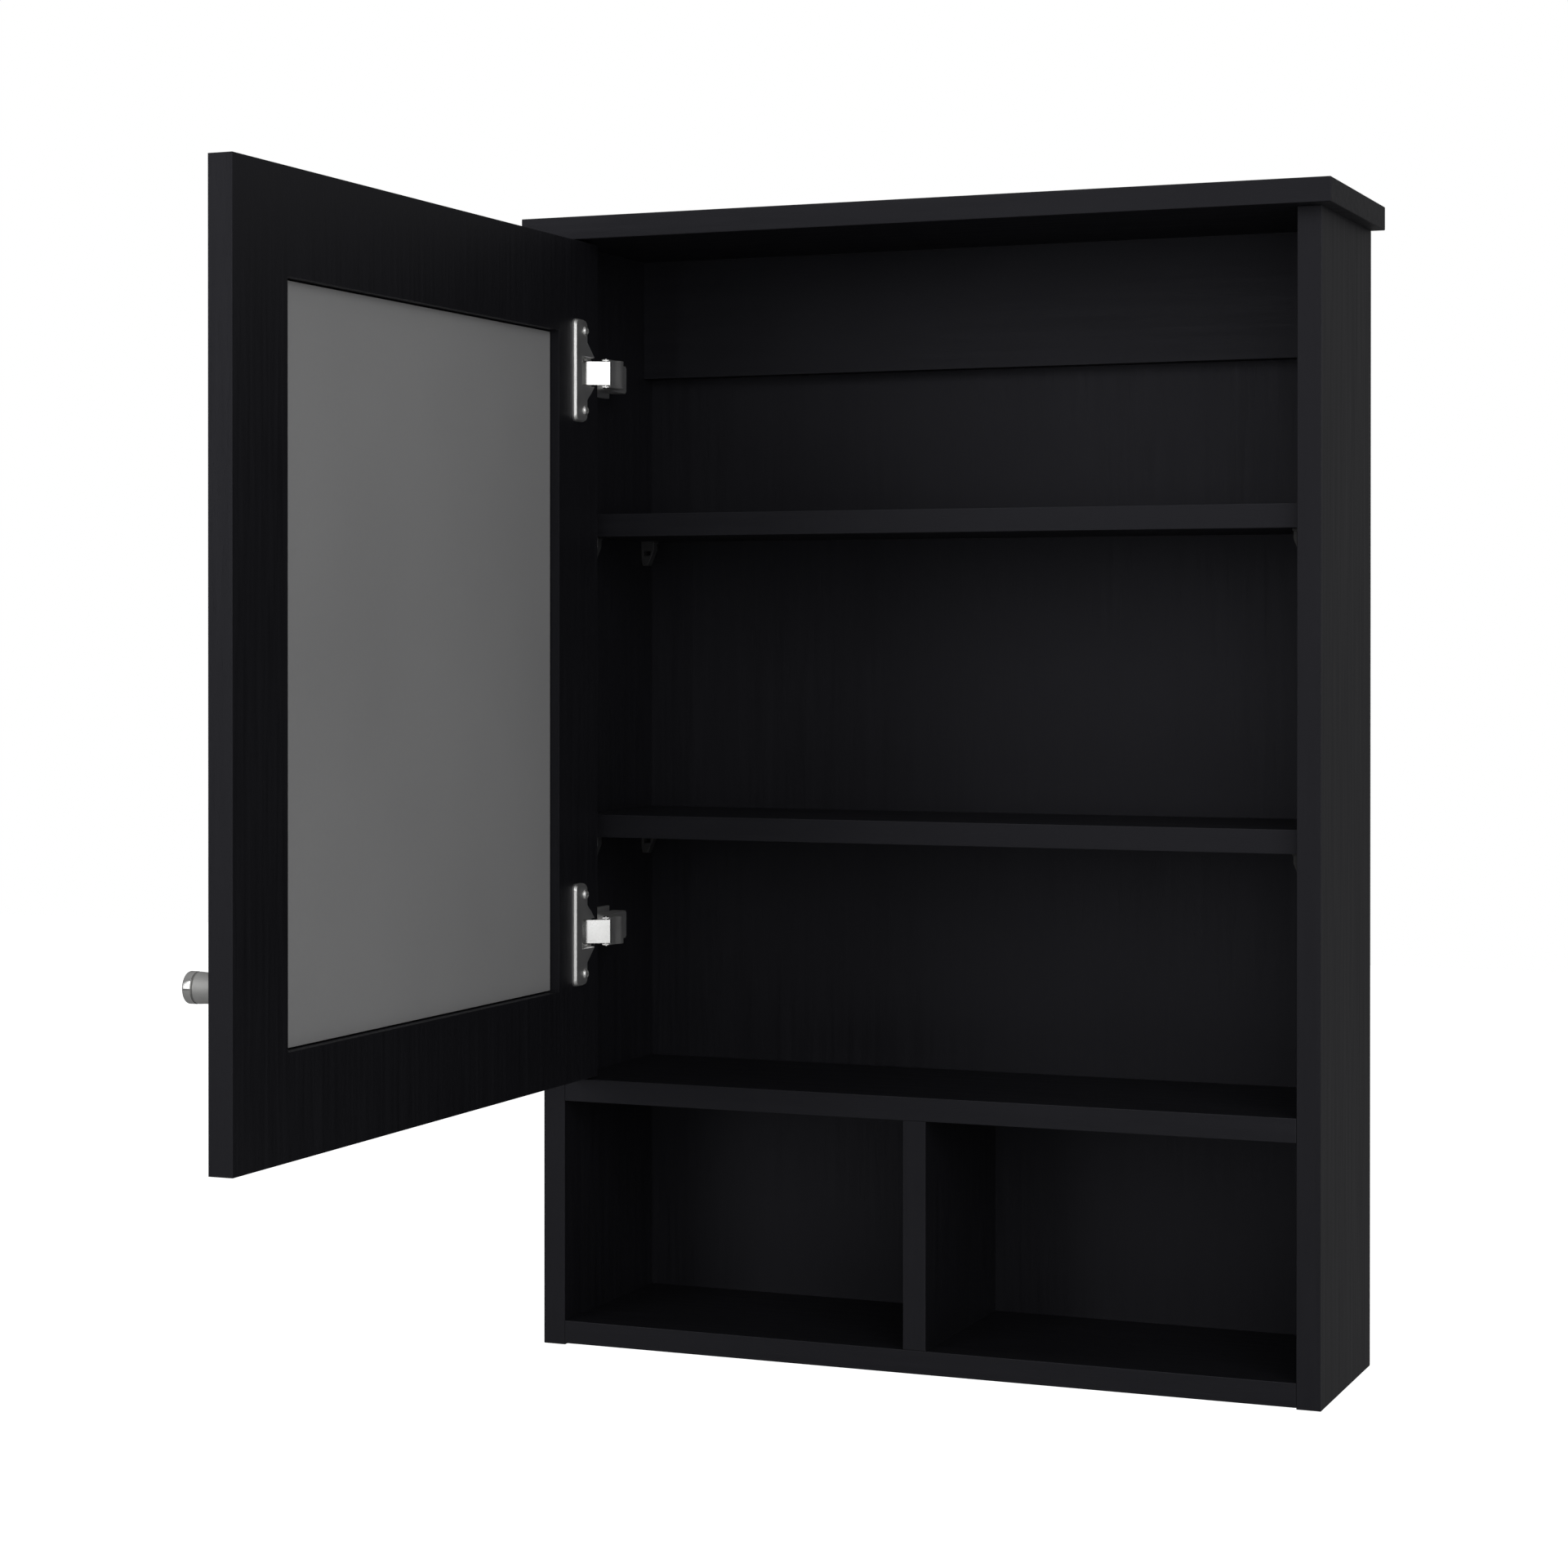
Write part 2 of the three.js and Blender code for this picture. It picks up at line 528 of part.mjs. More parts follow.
function makeCabinetHinge(level) {
  const { armPin, openPin } = hingePoints();
  const hinge = new THREE.Group();
  const pinReach = ARM.halfHeight - ARM_PIN_SUNK;
  const armPinRod = rod("z", HINGE_PIN_RADIUS, -pinReach, pinReach, armPin.x, armPin.y);
  hinge.add(
    makeLink(level, armPin, openPin),
    makeArm(level, armPin),
    makePlate(level),
    piece(`${level}_hinge_arm_pin`, armPinRod, NICKEL),
  );
  const screws = [
    [`${level}_plate_screw_front`, WOOD_SCREW, PLATE.thickness, PLATE_SCREWS.front],
    [`${level}_plate_screw_rear`, WOOD_SCREW, PLATE.thickness, PLATE_SCREWS.rear],
    [`${level}_arm_fixing_screw`, FIXING_SCREW, ARM.flat, ARM_FIXING_AT],
    [`${level}_side_adjust_screw`, ADJUST_SCREW, ARM.flat, SIDE_ADJUST_AT],
  ];
  for (const [name, kind, x, y] of screws) {
    const mesh = screw(name, kind);
    mesh.rotation.y = Math.PI / 2;
    mesh.position.set(x, y, 0);
    hinge.add(mesh);
  }
  hinge.position.set(-HALF_INNER, 0, HINGE_HEIGHTS[level]);
  return hinge;
}

// ---- Assembly ----

const cabinet = new THREE.Group();
const door = makeDoor();
door.position.set(DOOR_OPEN.x - HALF_INNER, DOOR_OPEN.y, 0);
door.rotation.z = -Math.PI / 2;
cabinet.add(makeCarcass(), door, makeCabinetHinge("lower"), makeCabinetHinge("upper"));
cabinet.position.set(0, -REAR, -(RAIL_FOOT + SIDE_HEIGHT) / 2);

const group = new THREE.Group();
group.add(cabinet);

export default group;
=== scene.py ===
"""A black wall-hung medicine cabinet with its mirror door standing open, on a plain white studio stage."""

import math

import bmesh
import bpy
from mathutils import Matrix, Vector


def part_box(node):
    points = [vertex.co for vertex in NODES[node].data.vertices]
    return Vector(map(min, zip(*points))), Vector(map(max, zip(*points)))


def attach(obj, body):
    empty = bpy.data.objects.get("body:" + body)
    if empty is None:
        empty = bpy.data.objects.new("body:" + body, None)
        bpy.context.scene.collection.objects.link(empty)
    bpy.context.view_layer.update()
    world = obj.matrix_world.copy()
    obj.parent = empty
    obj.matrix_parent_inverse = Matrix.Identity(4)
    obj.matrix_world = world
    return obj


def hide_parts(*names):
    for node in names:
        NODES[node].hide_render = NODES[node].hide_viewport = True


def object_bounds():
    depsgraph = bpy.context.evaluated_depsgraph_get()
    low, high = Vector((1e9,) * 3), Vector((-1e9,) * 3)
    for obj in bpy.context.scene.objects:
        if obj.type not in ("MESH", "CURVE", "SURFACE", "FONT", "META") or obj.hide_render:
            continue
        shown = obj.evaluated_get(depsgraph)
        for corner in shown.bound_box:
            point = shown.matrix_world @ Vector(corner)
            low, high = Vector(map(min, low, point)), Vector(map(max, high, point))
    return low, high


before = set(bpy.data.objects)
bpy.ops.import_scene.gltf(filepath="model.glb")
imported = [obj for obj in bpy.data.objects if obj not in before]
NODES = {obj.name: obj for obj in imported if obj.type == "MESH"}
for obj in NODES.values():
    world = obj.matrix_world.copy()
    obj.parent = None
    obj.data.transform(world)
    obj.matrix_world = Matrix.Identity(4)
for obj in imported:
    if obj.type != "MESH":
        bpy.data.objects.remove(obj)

CAD_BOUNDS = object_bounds()
MM = 0.001
WELD_REACH = 0.005 * MM

CABINET = "cabinet"
DOOR = "door"
LEVELS = ("lower", "upper")


# ---- Node materials ----


class Look:
    """One material round a Principled shader, with short calls for making and joining its nodes."""

    def __init__(self, name, **sockets):
        self.material = bpy.data.materials.new(name)
        self.material.use_nodes = True
        self.tree = self.material.node_tree
        self.tree.nodes.clear()
        self.shader = self.tree.nodes.new("ShaderNodeBsdfPrincipled")
        output = self.tree.nodes.new("ShaderNodeOutputMaterial")
        self.tree.links.new(self.shader.outputs[0], output.inputs["Surface"])
        for socket, value in sockets.items():
            self.shader.inputs[socket.replace("_", " ")].default_value = value

    def node(self, kind, inputs=None, **settings):
        made = self.tree.nodes.new("ShaderNode" + kind)
        for name, value in settings.items():
            setattr(made, name, value)
        for socket, value in (inputs or {}).items():
            if isinstance(value, bpy.types.NodeSocket):
                self.tree.links.new(value, made.inputs[socket])
            else:
                made.inputs[socket].default_value = value
        return made

    def place(self, scale, location=(0, 0, 0)):
        """Object coordinates in metres, stretched by a scale on each axis."""
        coordinates = self.node("TexCoord").outputs["Object"]
        mapping = self.node("Mapping", {"Vector": coordinates, "Scale": scale, "Location": location})
        return mapping.outputs[0]

    def noise(self, vector, scale, detail=3.0, roughness=0.5, distortion=0.0):
        inputs = {"Vector": vector, "Scale": scale, "Detail": detail, "Roughness": roughness}
        return self.node("TexNoise", {**inputs, "Distortion": distortion}).outputs["Fac"]

    def ramp(self, value, low, high, to_low=0.0, to_high=1.0):
        inputs = {"Value": value, "From Min": low, "From Max": high, "To Min": to_low, "To Max": to_high}
        return self.node("MapRange", inputs).outputs["Result"]

    def math(self, operation, a, b):
        return self.node("Math", {0: a, 1: b}, operation=operation).outputs[0]

    def mix(self, factor, a, b):
        return self.node("Mix", {0: factor, 6: a, 7: b}, data_type="RGBA").outputs[2]

    def bump(self, height, distance, strength):
        inputs = {"Height": height, "Distance": distance, "Strength": strength}
        return self.node("Bump", inputs).outputs[0]

    def edges(self, radius):
        """0 on flat ground and 1 on an edge that is sharper than the radius."""
        rounded = self.node("Bevel", {"Radius": radius}, samples=6).outputs[0]
        flat = self.node("NewGeometry").outputs["Normal"]
        dot = self.node("VectorMath", {0: rounded, 1: flat}, operation="DOT_PRODUCT").outputs["Value"]
        return self.ramp(dot, 1.0, 0.8)

    def drive(self, **links):
        for socket, source in links.items():
            self.tree.links.new(source, self.shader.inputs[socket.replace("_", " ")])
        return self.material


def grey(value, blue=1.0):
    return (value, value, value * blue, 1.0)


FOIL_DARK = grey(0.0050, 1.22)
FOIL_LIGHT = grey(0.0086, 1.2)
FOIL_WORN = grey(0.035, 1.1)
GRAIN_STRETCH = 0.035
PORE_STRETCH = GRAIN_STRETCH ** 0.75


def black_foil(name, grain):
    """Black wood-grain foil. The grain runs along one axis: long faint streaks and fine pores."""
    look = Look(name, Specular_IOR_Level=0.32, Specular_Tint=(1.0, 1.0, 1.14, 1.0))
    along_grain = [GRAIN_STRETCH if axis == grain else 1.0 for axis in "xyz"]
    along_pores = [PORE_STRETCH if axis == grain else 1.0 for axis in "xyz"]
    streaks = look.noise(look.place(along_grain), 260.0, 5.0, 0.6, 0.3)
    pores = look.noise(look.place(along_pores, (3.1, 1.7, 0.4)), 1500.0, 2.0, 0.5)
    clouds = look.noise(look.place((1, 1, 1), (0.6, 2.3, 5.0)), 14.0, 2.0)
    pore_mask = look.ramp(pores, 0.58, 0.72)
    streak_tone = look.ramp(streaks, 0.3, 0.7, -0.5, 0.5)
    cloud_tone = look.ramp(clouds, 0.3, 0.7, -0.25, 0.25)
    tone = look.math("ADD", streak_tone, cloud_tone)
    foil = look.mix(look.ramp(tone, -0.7, 0.7), FOIL_DARK, FOIL_LIGHT)
    worn = look.mix(look.math("MULTIPLY", look.edges(1.1 * MM), 0.35), foil, FOIL_WORN)
    roughness = look.ramp(streaks, 0.25, 0.75, 0.44, 0.56)
    height = look.math("SUBTRACT", look.math("MULTIPLY", streaks, 0.6), pore_mask)
    normal = look.bump(height, 0.05 * MM, 0.5)
    return look.drive(Base_Color=worn, Roughness=roughness, Normal=normal)


def mirror_silver():
    """Flat silvered glass with the faintest unevenness and a few dust specks that dull it."""
    look = Look("mirror_silver", Metallic=1.0, Coat_Weight=0.6, Coat_Roughness=0.02)
    dust = look.ramp(look.noise(look.place((1, 1, 1)), 2200.0, 1.0), 0.74, 0.8)
    smear = look.ramp(look.noise(look.place((1, 1, 0.4), (2, 0, 1)), 9.0, 4.0), 0.45, 0.75)
    tint = look.mix(dust, (0.86, 0.885, 0.88, 1.0), grey(0.6))
    roughness = look.math("ADD", look.ramp(dust, 0, 1, 0.012, 0.2), look.math("MULTIPLY", smear, 0.02))
    return look.drive(Base_Color=tint, Roughness=roughness)


def mirror_back_film():
    """The grey protective film on the back of the mirror, with a rolled mottle."""
    look = Look("mirror_back_film", Specular_IOR_Level=0.4)
    mottle = look.noise(look.place((1, 1, 0.6)), 420.0, 4.0, 0.6)
    clouds = look.noise(look.place((1, 1, 1), (4, 1, 2)), 6.0, 2.0)
    mottle_tone = look.ramp(mottle, 0.3, 0.7, -0.3, 0.3)
    cloud_tone = look.ramp(clouds, 0.3, 0.7, -0.5, 0.5)
    tone = look.ramp(look.math("ADD", mottle_tone, cloud_tone), -0.8, 0.8)
    colour = look.mix(tone, grey(0.305, 1.01), grey(0.345, 1.01))
    roughness = look.ramp(mottle, 0.3, 0.7, 0.5, 0.62)
    return look.drive(Base_Color=colour, Roughness=roughness, Normal=look.bump(mottle, 0.04 * MM, 0.4))


def plated_steel(name, base, rough, brush=(1, 1, 1)):
    """Nickel-plated pressed steel, or chrome, where the brush squeezes the texture into turned lines."""
    look = Look(name, Metallic=1.0)
    fine = look.noise(look.place(brush), 1600.0, 3.0, 0.6)
    broad = look.noise(look.place((1, 1, 1), (1, 5, 2)), 90.0, 2.0)
    colour = look.mix(look.ramp(broad, 0.3, 0.7), grey(base * 0.93, 0.985), grey(base, 0.99))
    worn = look.math("MULTIPLY", look.edges(0.25 * MM), 0.5)
    bright = look.mix(worn, colour, grey(min(1.0, base * 1.2)))
    fine_roughness = look.ramp(fine, 0.3, 0.7, rough * 0.8, rough * 1.2)
    roughness = look.math("ADD", fine_roughness, look.ramp(broad, 0.3, 0.7, 0, 0.04))
    return look.drive(Base_Color=bright, Roughness=roughness, Normal=look.bump(fine, 0.012 * MM, 0.5))


def pin_plastic():
    """Dark moulded plastic with a spark-eroded texture."""
    look = Look("pin_plastic", Specular_IOR_Level=0.5)
    grain = look.noise(look.place((1, 1, 1)), 1800.0, 2.0)
    colour = look.mix(look.ramp(grain, 0.3, 0.7), grey(0.026, 1.05), grey(0.036, 1.05))
    worn = look.mix(look.math("MULTIPLY", look.edges(0.4 * MM), 0.5), colour, grey(0.08))
    roughness = look.ramp(grain, 0.3, 0.7, 0.38, 0.5)
    return look.drive(Base_Color=worn, Roughness=roughness, Normal=look.bump(grain, 0.03 * MM, 0.5))


TURNED = (12, 1, 1)
FOIL_UPRIGHT = black_foil("black_foil_upright", "z")
FOIL_ACROSS = black_foil("black_foil_across", "x")
MIRROR = mirror_silver()
FILM = mirror_back_film()
NICKEL = plated_steel("hinge_nickel", 0.78, 0.22)
DULL_NICKEL = plated_steel("hinge_dull_nickel", 0.8, 0.46)
CHROME = plated_steel("knob_polished_chrome", 0.78, 0.1, TURNED)
PIN_STEEL = plated_steel("pin_steel", 0.8, 0.2)
SCREW_STEEL = plated_steel("screw_steel", 0.95, 0.4)
SATIN = plated_steel("knob_satin_chrome", 0.72, 0.62, TURNED)
PLASTIC = pin_plastic()


# ---- CAD nodes: rounded edges and their finish ----


BOARD_EDGE = 0.5
SHARP_EDGE = 32
FACE_WEIGHT = 60


def dress(node, material, width, segments=3):
    """Rounds a CAD node's edges by a width in millimetres, smooths its facets and gives it a material."""
    piece = NODES[node]
    piece.data.materials.clear()
    piece.data.materials.append(material)
    weld = piece.modifiers.new("weld", "WELD")
    weld.merge_threshold = WELD_REACH
    bevel = piece.modifiers.new("round_edges", "BEVEL")
    bevel.width = width * MM
    bevel.segments = segments
    bevel.limit_method = "ANGLE"
    bevel.angle_limit = math.radians(SHARP_EDGE)
    piece.modifiers.new("even_normals", "WEIGHTED_NORMAL").weight = FACE_WEIGHT


UPRIGHT_BOARDS = ("left_side_panel", "right_side_panel", "cubby_divider", "back_panel")
LEVEL_BOARDS = ("crown_board", "bottom_panel", "fixed_shelf", "hanging_rail", "lower_shelf", "upper_shelf")


def dress_carcass():
    for node in UPRIGHT_BOARDS:
        dress(node, FOIL_UPRIGHT, BOARD_EDGE)
    for node in LEVEL_BOARDS:
        dress(node, FOIL_ACROSS, BOARD_EDGE)
    for node in NODES:
        if "_shelf_pin_" in node:
            dress(node, PLASTIC, 0.35)


def dress_door():
    dress("door_frame", FOIL_UPRIGHT, BOARD_EDGE)
    dress("mirror_glass", MIRROR, 0.25)
    dress("mirror_backing", FILM, 0.05, 1)
    make_knob()
    dress("knob_stud", PIN_STEEL, 0.1, 1)


def dress_hinges():
    for level in LEVELS:
        make_cup(level)
        make_link(level)
        make_arm(level)
        dress(f"{level}_mounting_plate", DULL_NICKEL, 0.3)
        dress(f"{level}_hinge_cup_pin", PIN_STEEL, 0.15, 2)
        dress(f"{level}_hinge_arm_pin", PIN_STEEL, 0.15, 2)
        make_cup_screw(level, "bottom")
        make_cup_screw(level, "top")
    for node in NODES:
        if "_screw" in node and "_cup_screw" not in node:
            dress(node, PIN_STEEL, 0.08, 1)


# ---- Pieces shaped here in place of plainer CAD nodes ----


def box_of(node):
    """The low and high corners of a CAD node."""
    low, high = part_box(node)
    return Vector(low), Vector(high)


def finish_piece(shape, name, material, body, replaced, sharp=30, rounding=None):
    """Turns a bmesh into a piece that rides on a body and stands for a CAD node.

    Edges sharper than an angle are rounded, where a rounding in millimetres is given.
    """
    bmesh.ops.recalc_face_normals(shape, faces=shape.faces)
    mesh = bpy.data.meshes.new(name)
    shape.to_mesh(mesh)
    shape.free()
    piece = bpy.data.objects.new(name, mesh)
    bpy.context.scene.collection.objects.link(piece)
    mesh.materials.append(material)
    for face in mesh.polygons:
        face.use_smooth = True
    if rounding:
        bevel = piece.modifiers.new("round_edges", "BEVEL")
        bevel.width = rounding * MM
        bevel.segments = 3
        bevel.limit_method = "ANGLE"
        bevel.angle_limit = math.radians(sharp)
    piece.modifiers.new("even_normals", "WEIGHTED_NORMAL").weight = FACE_WEIGHT
    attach(piece, body)
    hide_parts(replaced)


def prism(shape, points, low, high):
    """A closed prism on an outline in X and Y."""
    floor = [shape.verts.new((x, y, low)) for x, y in points]
    roof = [shape.verts.new((x, y, high)) for x, y in points]
    count = len(points)
    shape.faces.new(floor[::-1])
    shape.faces.new(roof)
    for i in range(count):
        j = (i + 1) % count
        shape.faces.new((floor[i], floor[j], roof[j], roof[i]))


def strip(path, thickness):
    """The outline of a bent sheet of one thickness that follows a path in X and Y."""
    sides = ([], [])
    for i, point in enumerate(path):
        before = (point - path[i - 1]).normalized() if i else (path[1] - point).normalized()
        after = (path[i + 1] - point).normalized() if i + 1 < len(path) else before
        along = (before + after).normalized()
        reach = thickness / 2 / max(0.5, along.dot(before))
        across = Vector((along.y, -along.x)) * reach
        sides[0].append(point + across)
        sides[1].append(point - across)
    return [(p.x, p.y) for p in sides[0] + sides[1][::-1]]


def fillet(corners, radius, steps=5):
    """A path in X and Y with its inner corners rounded."""
    points = [Vector(c) for c in corners]
    path = [points[0]]
    for before, corner, after in zip(points, points[1:], points[2:]):
        into = (before - corner).normalized()
        out = (after - corner).normalized()
        reach = min(radius, (before - corner).length * 0.45, (after - corner).length * 0.45)
        start, end = corner + into * reach, corner + out * reach
        for step in range(steps + 1):
            u = step / steps
            path.append(start.lerp(corner, u).lerp(corner.lerp(end, u), u))
    path.append(points[-1])
    return path


def lathe(shape, profile, centre, axis, sides=64):
    """A turned body: rows of (radius, distance along the axis) round a centre."""
    turn = Vector((0, 0, 1)).rotation_difference(Vector(axis)).to_matrix()
    rings = []
    for radius, along in profile:
        ring = []
        for i in range(sides if radius > 0 else 1):
            angle = 2 * math.pi * i / sides
            place = Vector((radius * math.cos(angle), radius * math.sin(angle), along))
            ring.append(shape.verts.new(centre + turn @ place))
        rings.append(ring)
    for inner, outer in zip(rings, rings[1:]):
        for i in range(sides):
            j = (i + 1) % sides
            if len(inner) == 1:
                shape.faces.new((inner[0], outer[i], outer[j]))
            elif len(outer) == 1:
                shape.faces.new((inner[i], outer[0], inner[j]))
            else:
                shape.faces.new((inner[i], outer[i], outer[j], inner[j]))


def middle(node):
    low, high = box_of(node)
    return (low + high) / 2


LINK_SHEET = 0.8 * MM
LINK_EYE = 1.55 * MM
LINK_EYE_RIM = 0.12 * MM
LINK_BULGE = 2.25 * MM
LINK_BEND = 1.2 * MM
RIVET = {"radius": 1.7 * MM, "edge": 0.35 * MM, "crown": 1.2 * MM, "shoulder": 0.75 * MM}
RIVET_HEIGHT = 0.8 * MM
RIVET_SUNK = 0.1 * MM


def make_link(level):
    """The carrying link: a flat pressed plate with an eye at each pin, and rivet heads outside the arm."""
    cup_pin = middle(f"{level}_hinge_cup_pin")
    arm_pin = middle(f"{level}_hinge_arm_pin")
    low, high = box_of(f"{level}_hinge_link")
    along = (arm_pin - cup_pin).normalized()
    across = Vector((along.y, -along.x, 0))
    length = (arm_pin - cup_pin).length
    rise = [
        (-0.9 * MM, LINK_EYE * 0.65), (3.0 * MM, LINK_BULGE),
        (length + 2.8 * MM, LINK_BULGE), (length + 3.2 * MM, LINK_EYE * 0.6),
    ]
    path = fillet([(cup_pin + along * a + across * b).to_2d() for a, b in rise], LINK_BEND)
    shape = bmesh.new()
    prism(shape, strip(path, LINK_SHEET), low.z, high.z)
    height = high.z - low.z
    inside = LINK_EYE - LINK_EYE_RIM
    for pin in (cup_pin, arm_pin):
        rows = [
            (0, 0), (inside, 0), (LINK_EYE, LINK_EYE_RIM),
            (LINK_EYE, height - LINK_EYE_RIM), (inside, height), (0, height),
        ]
        lathe(shape, rows, Vector((pin.x, pin.y, low.z)), (0, 0, 1), 40)
    arm_low, arm_high = box_of(f"{level}_hinge_arm")
    rivet = [
        (0, -RIVET_SUNK), (RIVET["radius"], -RIVET_SUNK), (RIVET["radius"], RIVET["edge"]),
        (RIVET["crown"], RIVET["shoulder"]), (0, RIVET_HEIGHT),
    ]
    for face, way in ((arm_low.z, -1), (arm_high.z, 1)):
        lathe(shape, rivet, Vector((arm_pin.x, arm_pin.y, face)), (0, 0, way), 32)
    node = f"{level}_hinge_link"
    finish_piece(shape, f"{level}_link_plate", NICKEL, f"{level}_link", node, 40, 0.1)


# The arm's web and cheeks, in millimetres from the left side panel's inner face and front edge.
ARM_SHEET = 1.0 * MM
ARM_WEB = [(29.1, 8.0), (29.3, 15.0), (31.6, 21.5), (31.4, 25.0), (15.5, 38.2), (15.5, 66.0)]
ARM_WEB_BEND = 2.2 * MM
ARM_CHEEK = [
    (24.6, 6.0), (24.9, 4.4), (29.0, 7.0), (29.6, 9.0), (29.8, 15.0), (32.1, 21.4), (31.9, 25.2),
    (16.0, 38.4), (16.0, 66.0), (6.0, 66.0), (6.0, 36.0), (10.0, 32.0), (24.6, 18.0),
]
ARM_CHEEK_BEND = 1.6 * MM


def make_arm(level):
    """The cranked arm: a bent sheet between two cheeks that carry the pin."""
    low, high = box_of(f"{level}_hinge_arm")
    face = box_of("left_side_panel")[1].x
    front = box_of("left_side_panel")[0].y

    def bent(corners, radius):
        return fillet([Vector((face + x * MM, front + y * MM)) for x, y in corners], radius)

    shape = bmesh.new()
    web = strip(bent(ARM_WEB, ARM_WEB_BEND), ARM_SHEET)
    prism(shape, web, low.z + ARM_SHEET, high.z - ARM_SHEET)
    cheek = [(p.x, p.y) for p in bent(ARM_CHEEK + ARM_CHEEK[:1], ARM_CHEEK_BEND)[:-1]]
    prism(shape, cheek, low.z, low.z + ARM_SHEET)
    prism(shape, cheek, high.z - ARM_SHEET, high.z)
    node = f"{level}_hinge_arm"
    finish_piece(shape, f"{level}_bent_arm", DULL_NICKEL, CABINET, node, 40, 0.15)


FLANGE_EDGE_DEPTH = 1.65 * MM
FLANGE_SLOPE = 0.85 * MM
FLANGE_SLOPE_REACH = 4.2 * MM
FLANGE_END_REACH = 29 * MM
FLANGE_END_SLOPE = 0.9 * MM


def make_cup(level):
    """The cup with its flange, whose front edge and two ends slope as pressed steel does."""
    node = f"{level}_hinge_cup"
    low, high = box_of(node)
    shape = bmesh.new()
    shape.from_mesh(NODES[node].data)
    bmesh.ops.transform(shape, matrix=NODES[node].matrix_world, verts=shape.verts)
    bmesh.ops.remove_doubles(shape, verts=shape.verts, dist=WELD_REACH)
    bmesh.ops.dissolve_limit(shape, angle_limit=math.radians(1), verts=shape.verts, edges=shape.edges)
    shoulder = Vector((high.x - FLANGE_EDGE_DEPTH, 0, 0))
    everything = shape.verts[:] + shape.edges[:] + shape.faces[:]
    bmesh.ops.bisect_plane(shape, geom=everything, plane_co=shoulder, plane_no=(1, 0, 0), dist=0.001 * MM)
    centre = (low.z + high.z) / 2
    for vert in shape.verts:
        if vert.co.x < high.x - 0.01 * MM:
            continue
        if vert.co.y < low.y + FLANGE_SLOPE_REACH:
            vert.co.y += FLANGE_SLOPE
        if abs(vert.co.z - centre) > FLANGE_END_REACH:
            vert.co.z -= math.copysign(FLANGE_END_SLOPE, vert.co.z - centre)
    finish_piece(shape, f"{level}_pressed_cup", DULL_NICKEL, DOOR, node, 25, 0.18)


SCREW_SHANK = 1.6 * MM
SCREW_TIP = {"radius": 1.2 * MM, "height": 0.6 * MM, "end": 2.4 * MM}
SCREW_DOME = 2.2 * MM
SCREW_DOME_PROUD = 0.4 * MM
SCREW_RIM = 0.25 * MM
DOME_STEPS = 12
RECESS = {"depth": 0.6 * MM, "from_top": 0.7 * MM, "half_width": 0.13, "half_length": 0.55}


def make_cup_screw(level, end):
    """A domed screw head with a cross recess, on its shank."""
    node = f"{level}_cup_screw_{end}"
    low, high = box_of(node)
    centre = Vector((low.x, (low.y + high.y) / 2, (low.z + high.z) / 2))
    radius = (high.z - low.z) / 2
    top = high.x + SCREW_DOME_PROUD
    under = top - low.x - SCREW_DOME
    rows = [
        (0, 0), (SCREW_TIP["radius"], SCREW_TIP["height"]), (SCREW_SHANK, SCREW_TIP["end"]),
        (SCREW_SHANK, under), (radius * 0.96, under),
    ]
    for step in range(DOME_STEPS):
        angle = math.pi / 2 * step / DOME_STEPS
        rise = SCREW_RIM + (SCREW_DOME - SCREW_RIM) * math.sin(angle)
        rows.append((radius * math.cos(angle), under + rise))
    rows.append((0, under + SCREW_DOME))
    shape = bmesh.new()
    lathe(shape, rows, centre, (1, 0, 0), 48)
    for vert in shape.verts:
        near, far = sorted((abs(vert.co.y - centre.y), abs(vert.co.z - centre.z)))
        in_cross = near < radius * RECESS["half_width"] and far < radius * RECESS["half_length"]
        if vert.co.x > top - RECESS["from_top"] and in_cross:
            vert.co.x -= RECESS["depth"]
    finish_piece(shape, f"{level}_domed_screw_{end}", SCREW_STEEL, DOOR, node)


KNOB_HEAD = 5.6 * MM
KNOB_SIDES = 96


def make_knob():
    """The turned knob: a waisted satin body and a polished head behind a groove."""
    low, high = box_of("knob")
    centre = Vector((high.x, (low.y + high.y) / 2, (low.z + high.z) / 2))
    radius = (high.z - low.z) / 2
    length = high.x - low.x
    groove = length - KNOB_HEAD
    neck = radius - 1.1 * MM
    body_rows = [
        (0, 0), (radius - 0.3 * MM, 0), (radius - 0.05 * MM, 0.25 * MM), (radius - 0.02 * MM, 1.5 * MM),
        (radius - 0.28 * MM, 7 * MM), (radius - 0.4 * MM, 12 * MM), (radius - 0.36 * MM, groove - 5 * MM),
        (radius - 0.12 * MM, groove - 1.2 * MM), (radius - 0.2 * MM, groove - 0.75 * MM),
        (neck, groove - 0.45 * MM), (neck, groove + 0.1 * MM), (0, groove + 0.1 * MM),
    ]
    head_rows = [
        (0, groove + 0.05 * MM), (neck, groove + 0.05 * MM), (radius - 0.25 * MM, groove + 0.25 * MM),
        (radius, groove + 0.55 * MM), (radius, length - 0.9 * MM), (radius - 0.25 * MM, length - 0.3 * MM),
        (radius - 0.9 * MM, length), (radius - 2 * MM, length), (radius - 4.5 * MM, length - 0.5 * MM),
        (0, length - 0.8 * MM),
    ]
    for name, rows, material in (("knob_body", body_rows, SATIN), ("knob_head", head_rows, CHROME)):
        shape = bmesh.new()
        lathe(shape, rows, centre, (-1, 0, 0), KNOB_SIDES)
        finish_piece(shape, name, material, DOOR, "knob")


# ---- Stage, light and camera ----


FLOOR_HALF = 6.0
FLOOR_GAP = 0.3


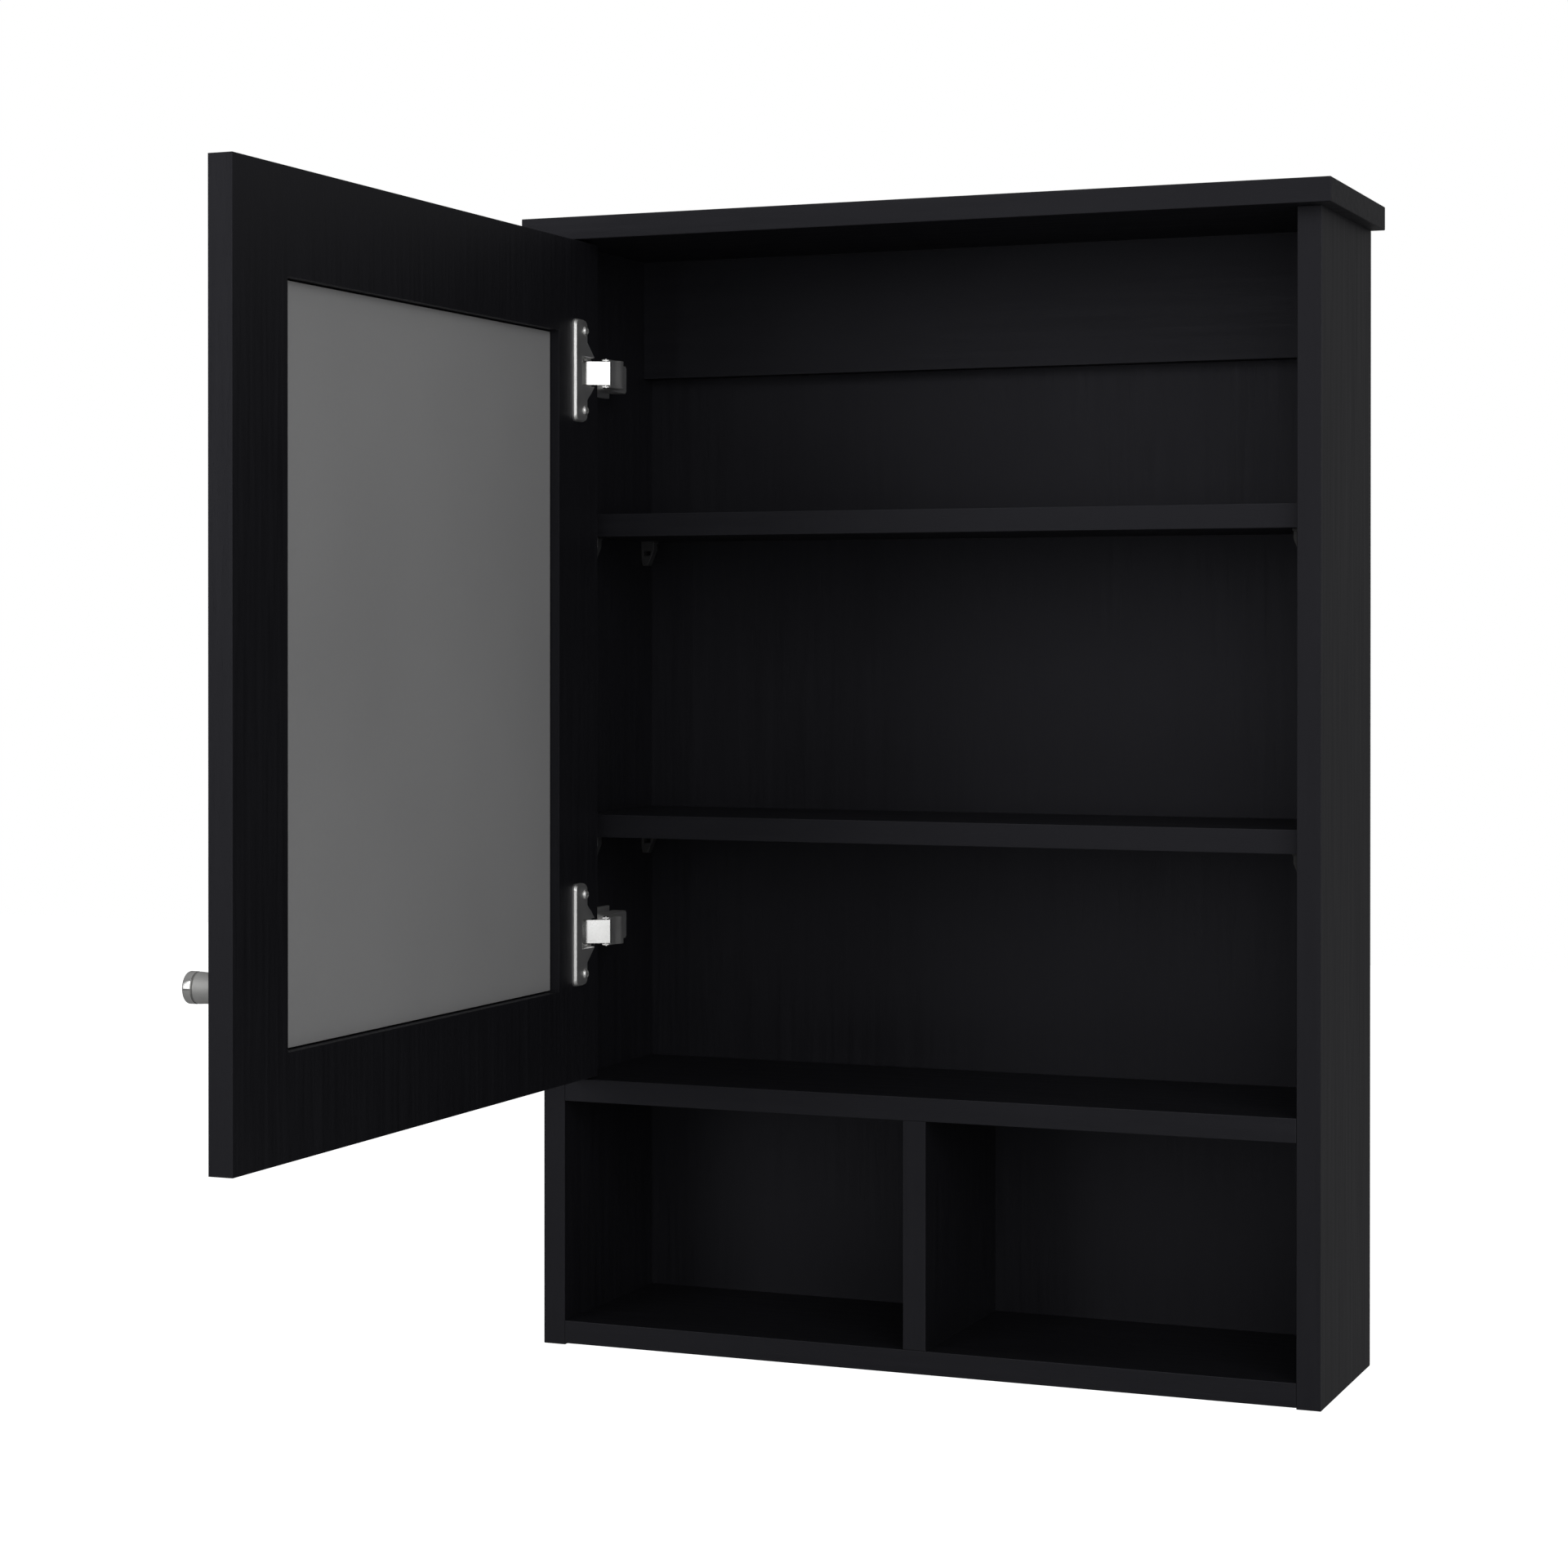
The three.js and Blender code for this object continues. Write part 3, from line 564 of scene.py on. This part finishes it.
def make_floor(depth):
    """A plain pale floor below the hung cabinet, which the camera sees as white."""
    mesh = bpy.data.meshes.new("floor")
    shape = bmesh.new()
    bmesh.ops.create_grid(shape, x_segments=1, y_segments=1, size=FLOOR_HALF)
    shape.to_mesh(mesh)
    shape.free()
    floor = bpy.data.objects.new("floor", mesh)
    floor.location.z = depth
    bpy.context.scene.collection.objects.link(floor)
    look = Look("floor_paper", Base_Color=grey(0.5), Roughness=0.8, Specular_IOR_Level=0.1)
    camera_ray = look.node("LightPath").outputs["Is Camera Ray"]
    look.shader.inputs["Emission Color"].default_value = grey(1.0)
    look.tree.links.new(camera_ray, look.shader.inputs["Emission Strength"])
    mesh.materials.append(look.material)


def make_world(top, level, bottom):
    """White to the camera, and a dim studio, brighter above than below, to everything else."""
    world = bpy.data.worlds.new("studio")
    bpy.context.scene.world = world
    world.use_nodes = True
    tree = world.node_tree
    tree.nodes.clear()
    place = tree.nodes.new("ShaderNodeTexCoord")
    split = tree.nodes.new("ShaderNodeSeparateXYZ")
    ramp = tree.nodes.new("ShaderNodeValToRGB")
    background = tree.nodes.new("ShaderNodeBackground")
    white = tree.nodes.new("ShaderNodeBackground")
    choose = tree.nodes.new("ShaderNodeMixShader")
    path = tree.nodes.new("ShaderNodeLightPath")
    output = tree.nodes.new("ShaderNodeOutputWorld")
    lift = tree.nodes.new("ShaderNodeMapRange")
    tree.links.new(place.outputs["Generated"], split.inputs[0])
    tree.links.new(split.outputs["Z"], lift.inputs["Value"])
    lift.inputs["From Min"].default_value = -1.0
    tree.links.new(lift.outputs["Result"], ramp.inputs["Fac"])
    stops = ramp.color_ramp.elements
    stops[0].position = 0.42
    stops[0].color = grey(bottom)
    stops[1].position = 1.0
    stops[1].color = grey(top)
    stops.new(0.52).color = grey(level)
    tree.links.new(ramp.outputs["Color"], background.inputs["Color"])
    tree.links.new(path.outputs["Is Camera Ray"], choose.inputs["Fac"])
    tree.links.new(background.outputs[0], choose.inputs[1])
    tree.links.new(white.outputs[0], choose.inputs[2])
    white.inputs["Color"].default_value = grey(1.0)
    tree.links.new(choose.outputs[0], output.inputs["Surface"])


def softbox(name, place, aim, size, power):
    """A rectangular lamp that the camera doesn't see. Its power is in watts."""
    light = bpy.data.lights.new(name, "AREA")
    light.shape = "RECTANGLE"
    light.size = size[0]
    light.size_y = size[1]
    light.energy = power
    lamp = bpy.data.objects.new(name, light)
    lamp.location = place
    lamp.rotation_euler = (Vector(aim) - Vector(place)).to_track_quat("-Z", "Y").to_euler()
    lamp.visible_camera = False
    bpy.context.scene.collection.objects.link(lamp)


CAMERA_PLACE = (0.70975, -2.24887, -0.22392)
CAMERA_DIP = 0.271
CAMERA_TURN = 23.673


def make_camera():
    """The camera stands to the right of the front and looks almost level at the cabinet."""
    lens = bpy.data.cameras.new("camera")
    lens.sensor_width = 36.0
    lens.lens = 79.76
    lens.shift_x = 0.1099
    lens.shift_y = -0.0802
    lens.clip_end = 50.0
    camera = bpy.data.objects.new("camera", lens)
    camera.location = CAMERA_PLACE
    camera.rotation_euler = (math.radians(90 - CAMERA_DIP), 0.0, math.radians(CAMERA_TURN))
    bpy.context.scene.collection.objects.link(camera)
    bpy.context.scene.camera = camera


make_camera()
dress_carcass()
dress_door()
dress_hinges()
make_floor(CAD_BOUNDS[0][2] - FLOOR_GAP)
make_world(top=0.33, level=0.14, bottom=0.045)
softbox("key", (1.707, -2.31, 0.45), (-0.23, -0.15, 0.2), (2.0, 2.1), 28.5)
softbox("left", (-1.16, -2.6, 0.5), (0, -0.3, 0.2), (1.0, 2.2), 10.3)
softbox("top", (-0.3, -2.2, 1.7), (0, -0.1, -0.3), (1.2, 1.2), 2.6)
softbox("rim", (1.3, 1.9, -0.3), (0.27, -0.08, -0.3), (0.8, 1.4), 0.4)
bpy.context.scene.view_settings.view_transform = "Standard"
